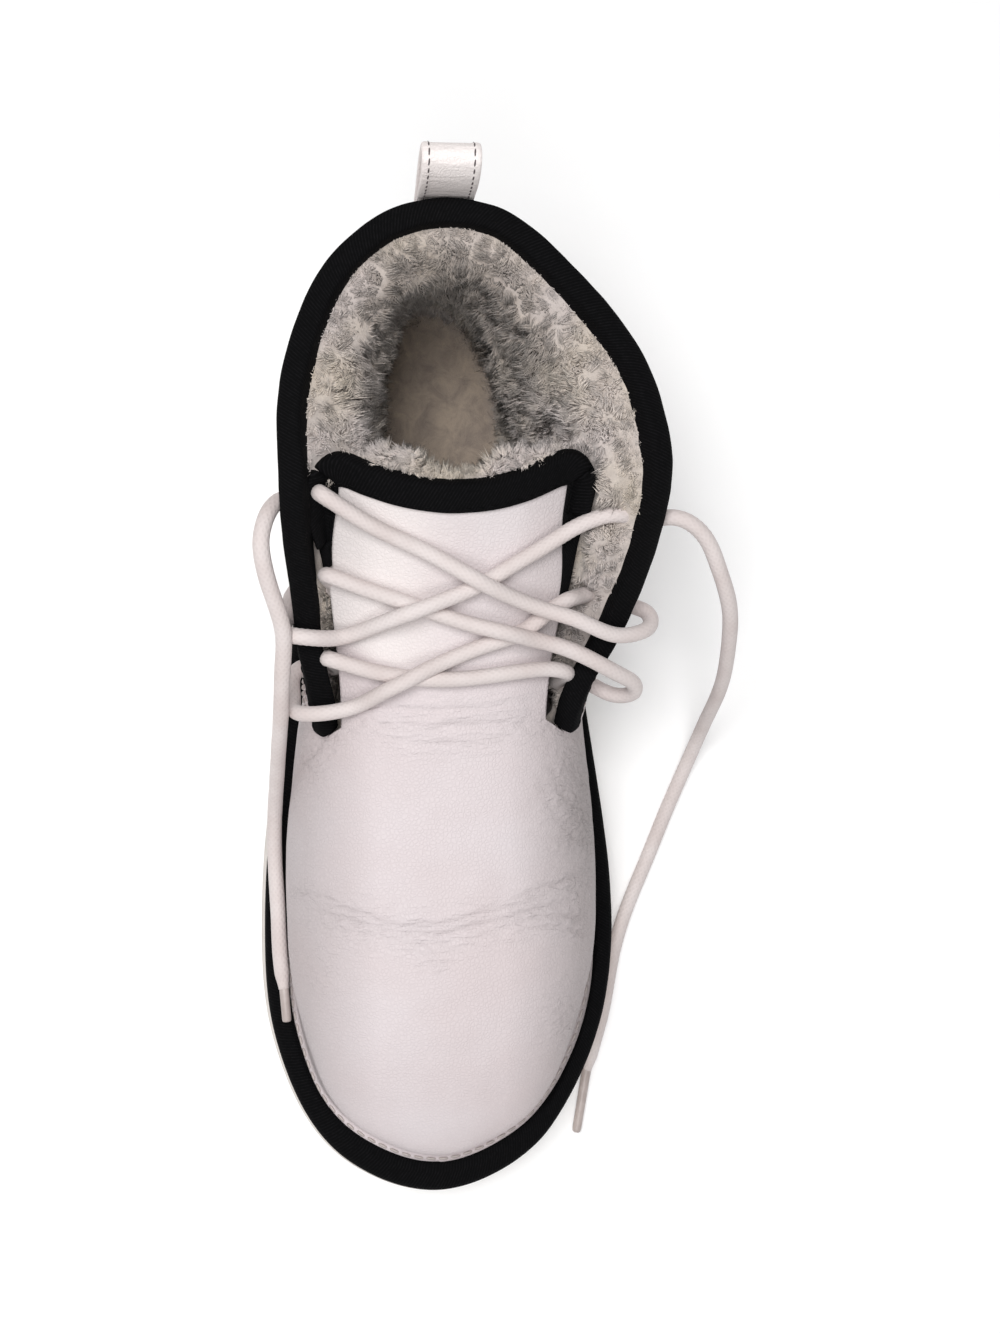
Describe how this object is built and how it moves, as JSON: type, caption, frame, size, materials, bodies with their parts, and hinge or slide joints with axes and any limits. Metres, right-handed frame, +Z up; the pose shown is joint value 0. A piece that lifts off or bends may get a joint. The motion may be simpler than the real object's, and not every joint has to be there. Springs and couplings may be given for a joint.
{
  "type": "ankle boot",
  "caption": "Low laced ankle boot for the left foot, fleece lined, with bound edges, open lacing over a tongue, a cupped rubber sole and a loop at the heel",
  "frame": {"origin": "on the floor, under the middle of the boot's box without the free lace ends and their tips", "axes": "+Z up, the toe points to -Y, the outer side of the foot is +X"},
  "size_m": [0.1433, 0.29, 0.1461],
  "materials": {
    "leather": "white grained leather, soft sheen",
    "tape": "black woven binding tape",
    "rubber_sole": "matt white rubber",
    "fleece": "cream and grey curly fleece",
    "lace": "round braided off-white lace",
    "lace_tip": "smooth shrunk film"
  },
  "bodies": {
    "root": {"upper": "leather", "collar_binding": "tape", "tongue": "leather", "tongue_binding": "tape", "welt_binding": "tape", "outsole": "rubber_sole", "insole": "fleece", "pull_loop": "leather", "lace_crossings": "lace", "lace_end_medial": "lace", "lace_end_lateral": "lace", "lace_tip_medial": "lace_tip", "lace_tip_lateral": "lace_tip"}
  },
  "joints": []
}
